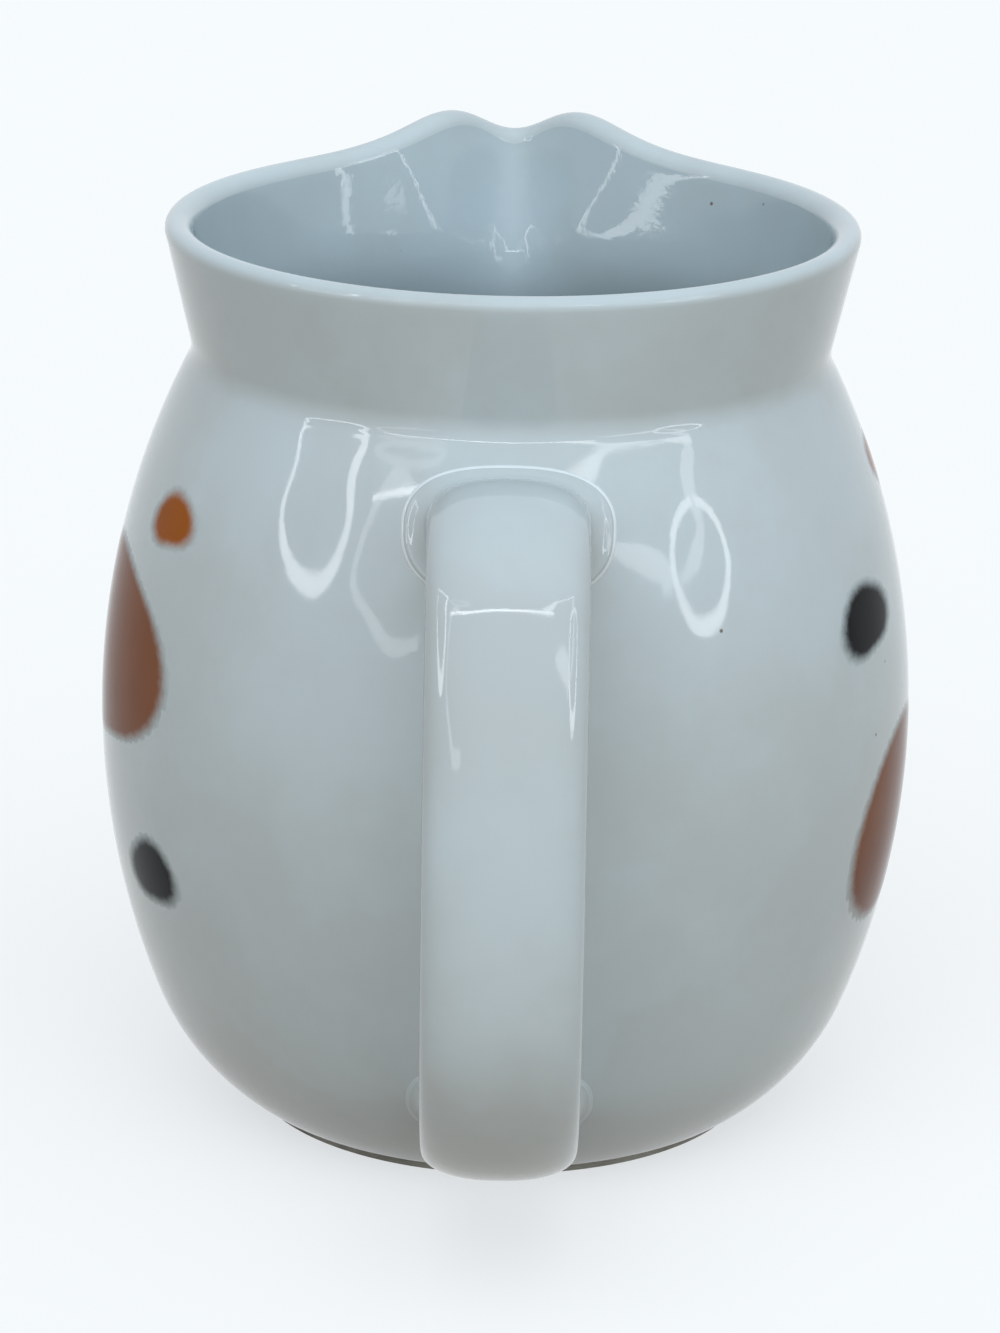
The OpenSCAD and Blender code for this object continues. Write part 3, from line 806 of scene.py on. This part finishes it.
# Lines of light that show in the glaze: the strength of each, whether its line closes, and its
# points of azimuth, elevation and width
LINE_LAMPS = {
    "front_tube": (11, False, [
        (-46, 25.5, 0.7), (-31, 29.4, 1.3), (0, 33.6, 1.5), (31, 29.6, 1.3)]),
    "left_loop": (7, True, [
        (-79, 26.5, 1), (-65, 31, 1), (-55, 32, 2), (-55.5, 27, 3), (-52, 20, 2), (-55, 13, 3),
        (-61, 11, 3.2), (-70, 12.5, 2), (-76, 16.5, 1.5), (-77, 22, 1.3)]),
    "right_loop": (7, True, [
        (62, 22.5, 1.5), (54.5, 20.5, 1.5), (51.3, 15, 1.7), (54, 8.5, 2.4), (58.5, 6.4, 2.8),
        (65, 7.2, 2.4), (70, 12.5, 1.6), (68.5, 19, 1.3)]),
    "window_top": (6, False, [
        (21, 32.8, 1.5), (29, 33, 3.5), (37, 34.8, 1.2), (55, 32.2, 0.8), (69, 28.5, 1)]),
    "window_side": (3.6, False, [
        (68, 28, 2), (63, 25, 4), (63.5, 19, 2.5), (59, 15.5, 3), (53, 13.5, 1)]),
    "window_sill": (4, False, [
        (31, 21.3, 1), (38, 19.5, 3.5), (44, 17.5, 4.5), (48.5, 15.5, 4), (48, 12.5, 2)]),
    "left_glow": (3.2, False, [
        (-33.5, 29.1, 3), (-39, 29.8, 3.5), (-43.5, 26, 2), (-46.8, 17.2, 1.5),
        (-45.7, 13, 1.8), (-39.4, 9.8, 2.2), (-33, 6.7, 3), (-25, 8, 2.5)]),
    "top_glow": (2.6, True, [
        (-49.6, 31.6, 1), (-42, 34.2, 1), (-32, 35.6, 1), (-24, 36, 1), (-28, 33.8, 1.3),
        (-40, 31.8, 1.3)]),
}


def seen_directly(nodes):
    """1 for rays from the camera and for mirrored or refracted ones, which see the backdrop."""
    path = nodes.add("ShaderNodeLightPath").outputs
    mirrored = nodes.maths("MAXIMUM", path["Is Glossy Ray"], path["Is Transmission Ray"])
    return nodes.maths("MAXIMUM", path["Is Camera Ray"], mirrored)


def make_world():
    """Soft light, strongest and coolest from above, and stronger from the camera's side."""
    world = bpy.data.worlds.new("studio")
    bpy.context.scene.world = world
    world.use_nodes = True
    world.node_tree.nodes.clear()
    nodes = Nodes(world.node_tree)
    direction = nodes.add("ShaderNodeTexCoord").outputs["Generated"]
    place = nodes.add("ShaderNodeSeparateXYZ", {"Vector": direction}).outputs
    front = nodes.mix(nodes.ramp(place["Z"], low=-0.1, high=0.9), SKY_LOW, SKY_HIGH)
    rear = nodes.mix(nodes.ramp(place["Y"], low=0.25, high=0.95), SKY_SIDE, SKY_BACK)
    away = nodes.maths("MULTIPLY_ADD", place["X"], FALL_OFF_X, place["Y"])
    away = nodes.maths("MULTIPLY_ADD", place["Z"], FALL_OFF_Z, away)
    lit = nodes.ramp(away, low=-1.1, high=0.1, to_low=1.0, to_high=0.0)
    sky = nodes.mix(lit, rear, front)
    colour = nodes.mix(seen_directly(nodes), sky, PALE)
    background = nodes.add("ShaderNodeBackground", {"Color": colour, "Strength": 1.0})
    nodes.add("ShaderNodeOutputWorld", {"Surface": background.outputs["Background"]})


def make_floor():
    """Plain pale floor. Where it is seen it glows in part, so that its shadow stays light."""
    material, nodes, _ = new_material("studio_floor")
    direct = seen_directly(nodes)
    evened = tuple(pale / light for pale, light in zip(PALE, FLOOR_LIGHT))
    paint = nodes.mix(direct, BOUNCE, (*evened, 1))
    diffuse = nodes.add("ShaderNodeBsdfDiffuse", {"Color": paint})
    glow = nodes.add("ShaderNodeEmission", {"Color": PALE, "Strength": 1.0})
    share = nodes.maths("MULTIPLY", direct, FLOOR_GLOW_SHARE)
    both = nodes.add("ShaderNodeMixShader", {
        0: share, 1: diffuse.outputs["BSDF"], 2: glow.outputs["Emission"]})
    nodes.add("ShaderNodeOutputMaterial", {"Surface": both.outputs["Shader"]})
    ways = [(-1, -1), (1, -1), (1, 1), (-1, 1)]
    corners = [(x * FLOOR_HALF, y * FLOOR_HALF, 0) for x, y in ways]
    mesh = bpy.data.meshes.new("floor")
    mesh.from_pydata(corners, [], [(0, 1, 2, 3)])
    mesh.materials.append(material)
    floor = bpy.data.objects.new("floor", mesh)
    bpy.context.scene.collection.objects.link(floor)


def make_sun(name, azimuth, elevation, strength, size, colour):
    """Soft light from far off."""
    light = bpy.data.lights.new(name, "SUN")
    light.energy, light.angle, light.color = strength, math.radians(size), colour
    sun = bpy.data.objects.new(name, light)
    sun.rotation_euler = Euler((math.radians(90 - elevation), 0, math.radians(azimuth)))
    sun.visible_glossy = False
    bpy.context.scene.collection.objects.link(sun)


def smooth_path(points, closed):
    """Points on a smooth curve through the given ones."""
    points = np.array(points, float)
    count = len(points)
    before = np.roll(points, 1, 0) if closed else np.vstack([points[:1], points[:-1]])
    after = np.roll(points, -1, 0) if closed else np.vstack([points[1:], points[-1:]])
    slope = (after - before) / 2
    path = []
    for i in range(count if closed else count - 1):
        j = (i + 1) % count
        for t in np.arange(LAMP_STEPS) / LAMP_STEPS:
            path.append((2 * t**3 - 3 * t**2 + 1) * points[i] + (t**3 - 2 * t**2 + t) * slope[i]
                        + (3 * t**2 - 2 * t**3) * points[j] + (t**3 - t**2) * slope[j])
    return np.array(path if closed else path + [points[-1]])


def make_line_lamp(name, strength, points, closed):
    """A line of light through points of azimuth, elevation and width. It shows as a
    reflection only."""
    azimuth, elevation, width = np.radians(smooth_path(points, closed)).T
    towards = np.column_stack([np.sin(azimuth) * np.cos(elevation),
                               -np.cos(azimuth) * np.cos(elevation), np.sin(elevation)])
    if closed:
        run = np.roll(towards, -1, 0) - np.roll(towards, 1, 0)
    else:
        run = np.gradient(towards, axis=0)
    side = np.cross(towards, run)
    side *= (np.tan(width / 2) / np.linalg.norm(side, axis=1))[:, None]
    edges = np.stack([towards - side, towards + side], axis=1).reshape(-1, 3)
    count = len(towards)
    faces = []
    for i in range(count if closed else count - 1):
        j = (i + 1) % count
        faces.append((2 * i, 2 * i + 1, 2 * j + 1, 2 * j))
    mesh = bpy.data.meshes.new(name)
    mesh.from_pydata((edges * LAMP_DISTANCE + (0, AXIS_Y, LAMP_CENTRE_Z)).tolist(), [], faces)
    material, nodes, _ = new_material(name)
    glow = nodes.add("ShaderNodeEmission", {"Color": LAMP_COLOUR, "Strength": strength})
    nodes.add("ShaderNodeOutputMaterial", {"Surface": glow.outputs["Emission"]})
    mesh.materials.append(material)
    lamp = bpy.data.objects.new(name, mesh)
    bpy.context.scene.collection.objects.link(lamp)
    lamp.visible_camera = False
    lamp.visible_diffuse = False
    lamp.visible_shadow = False


def make_lamps():
    """The key light, and the tube lights and outlines of lit windows that the glaze mirrors."""
    make_sun("key", **KEY_LIGHT)
    for name, (strength, closed, points) in LINE_LAMPS.items():
        make_line_lamp(name, strength, points, closed)


def make_camera():
    """The photograph's viewpoint, measured from the jug's axis and the surface it stands on."""
    away, above, aside = 0.512, 0.2164, -0.00066
    pitch, roll = math.radians(18.09), math.radians(0.92)
    focal_px, long_side_px = 4820, 1333
    data = bpy.data.cameras.new("camera")
    data.sensor_width = 36
    data.lens = data.sensor_width * focal_px / long_side_px
    data.clip_start, data.clip_end = 0.01, 20
    camera = bpy.data.objects.new("camera", data)
    camera.location = (aside, AXIS_Y - away, above)
    tilt = Euler((math.pi / 2 - pitch, 0, 0)).to_matrix() @ Euler((0, 0, roll)).to_matrix()
    camera.rotation_euler = tilt.to_euler()
    bpy.context.scene.collection.objects.link(camera)
    bpy.context.scene.camera = camera


def make_jug():
    """All pieces of the jug, on the one body of its frame."""
    glaze = make_glaze("white_glaze")
    # The inside's glaze is darker in colour, as painted shade of the hollow, and has stronger
    # waves and less mirror
    inside = make_glaze("inside_glaze_painted_shade", SHADED_INSIDE_DEEP, SHADED_INSIDE_LIGHT, INSIDE_WAVES, INSIDE_IOR)
    # The upper bead's lighter glaze is a painted highlight round the handle's upper root
    slip = make_glaze("slip_glaze_painted_highlight", SLIP_HIGHLIGHT_DEEP, SLIP_HIGHLIGHT_LIGHT)
    top, foot = strap_ends()
    pieces = [
        make_body(glaze, make_biscuit(), inside),
        make_handle(glaze),
        make_slip("upper_slip_bead", "upper_slip_joint", top, slip),
        make_slip("lower_slip_bead", "lower_slip_joint", foot, glaze),
    ]
    colours = {shade: make_colour(shade + "_colour", *tones)
               for shade, tones in FIRED_COLOURS.items()}
    for node in SPOTS:
        shade = node.split("_")[1]
        pieces.append(make_patch(node, colours[shade]))
    for piece in pieces:
        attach(piece, "root")


make_camera()
make_world()
make_floor()
make_lamps()
make_jug()

view = bpy.context.scene.view_settings
view.view_transform = "Standard"
